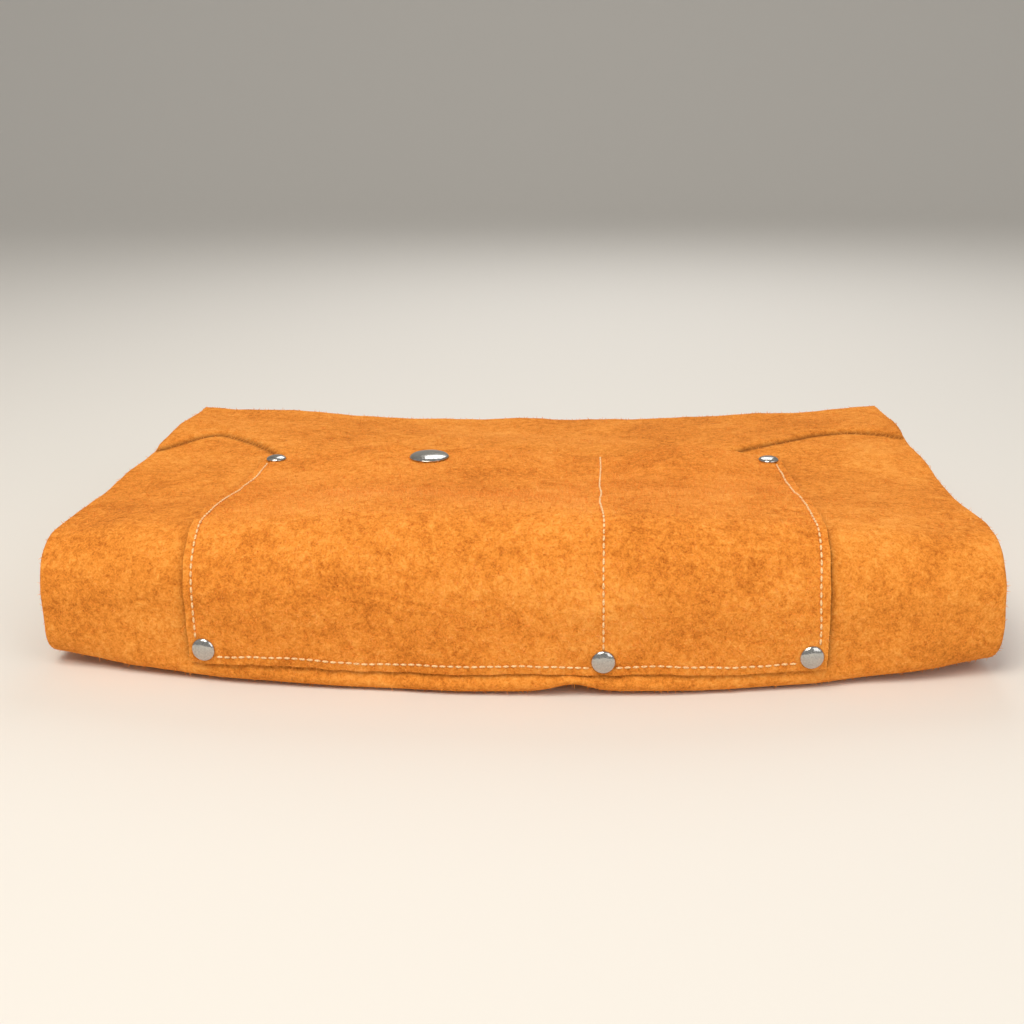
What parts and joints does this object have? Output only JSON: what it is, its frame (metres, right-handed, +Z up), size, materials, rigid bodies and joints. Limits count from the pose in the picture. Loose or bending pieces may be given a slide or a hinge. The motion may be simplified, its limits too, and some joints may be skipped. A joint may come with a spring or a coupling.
{
  "type": "welding apron",
  "caption": "Split-leather welding bib apron folded into a flat bundle, with its stitched and riveted two-compartment bib pocket outermost and a snap at the pocket's mouth.",
  "frame": {"origin": "middle of the folded bundle's underside", "axes": "+X along the bundle's front to the right as the pocket is read, -Y towards the front roll, +Z up"},
  "size_m": [0.4, 0.2858, 0.0714],
  "materials": {
    "suede": "golden split cowhide with a raised nap, no gloss",
    "thread": "cream spun sewing thread",
    "nickel": "nickel-plated steel, polished",
    "webbing": "dark woven strap"
  },
  "bodies": {
    "skirt": {"pocket_lower": "suede", "rivet_back_pocket_foot_divider": "nickel", "rivet_back_pocket_foot_left": "nickel", "rivet_back_pocket_foot_right": "nickel", "rivet_cap_pocket_foot_divider": "nickel", "rivet_cap_pocket_foot_left": "nickel", "rivet_cap_pocket_foot_right": "nickel", "seam_thread_foot_narrow": "thread", "seam_thread_foot_wide": "thread", "side_flap_left_lower": "suede", "side_flap_right_lower": "suede", "skirt_hem_panel": "suede", "skirt_panel": "suede"},
    "bib": {"bib_back_panel": "suede", "bib_front_panel": "suede", "bib_panel": "suede", "bib_top_panel": "suede", "neck_strap_long": "webbing", "neck_strap_short": "webbing", "pocket_upper": "suede", "rivet_back_neck_strap_left": "nickel", "rivet_back_neck_strap_right": "nickel", "rivet_back_pocket_mouth_left": "nickel", "rivet_back_pocket_mouth_right": "nickel", "rivet_cap_neck_strap_left": "nickel", "rivet_cap_neck_strap_right": "nickel", "rivet_cap_pocket_mouth_left": "nickel", "rivet_cap_pocket_mouth_right": "nickel", "seam_thread_divider": "thread", "seam_thread_left": "thread", "seam_thread_right": "thread", "side_flap_left_upper": "suede", "side_flap_right_upper": "suede", "snap_back": "nickel", "snap_stud": "nickel", "waist_tie_left": "webbing", "waist_tie_right": "webbing"},
    "pocket_mouth": {"pocket_mouth_panel": "suede", "snap_cap": "nickel", "snap_socket": "nickel"},
    "buckle": {"buckle_frame": "nickel"},
    "prong": {"buckle_prong": "nickel"},
    "keeper": {"strap_keeper": "suede"}
  },
  "joints": [
    {"name": "bundle_open", "type": "hinge", "parent": "skirt", "child": "bib", "pos_m": [0, -0.14076, 0.022], "axis": [1, 0, 0], "range_deg": [0, 135]},
    {"name": "pocket_mouth_open", "type": "hinge", "parent": "bib", "child": "pocket_mouth", "pos_m": [-0.04825, -0.04683, 0.05959], "axis": [1, 0, 0], "range_deg": [0, 18]},
    {"name": "buckle_frame_swing", "type": "hinge", "parent": "bib", "child": "buckle", "pos_m": [-0.132, 0.02507, 0.028], "axis": [1, 0, 0], "range_deg": [-10, 10]},
    {"name": "buckle_prong_lift", "type": "hinge", "parent": "buckle", "child": "prong", "pos_m": [-0.132, 0.02507, 0.028], "axis": [1, 0, 0], "range_deg": [0, 12]},
    {"name": "strap_keeper_slide", "type": "slide", "parent": "bib", "child": "keeper", "axis": [0, 1, 0], "range_m": [-0.005, 0.005]}
  ]
}
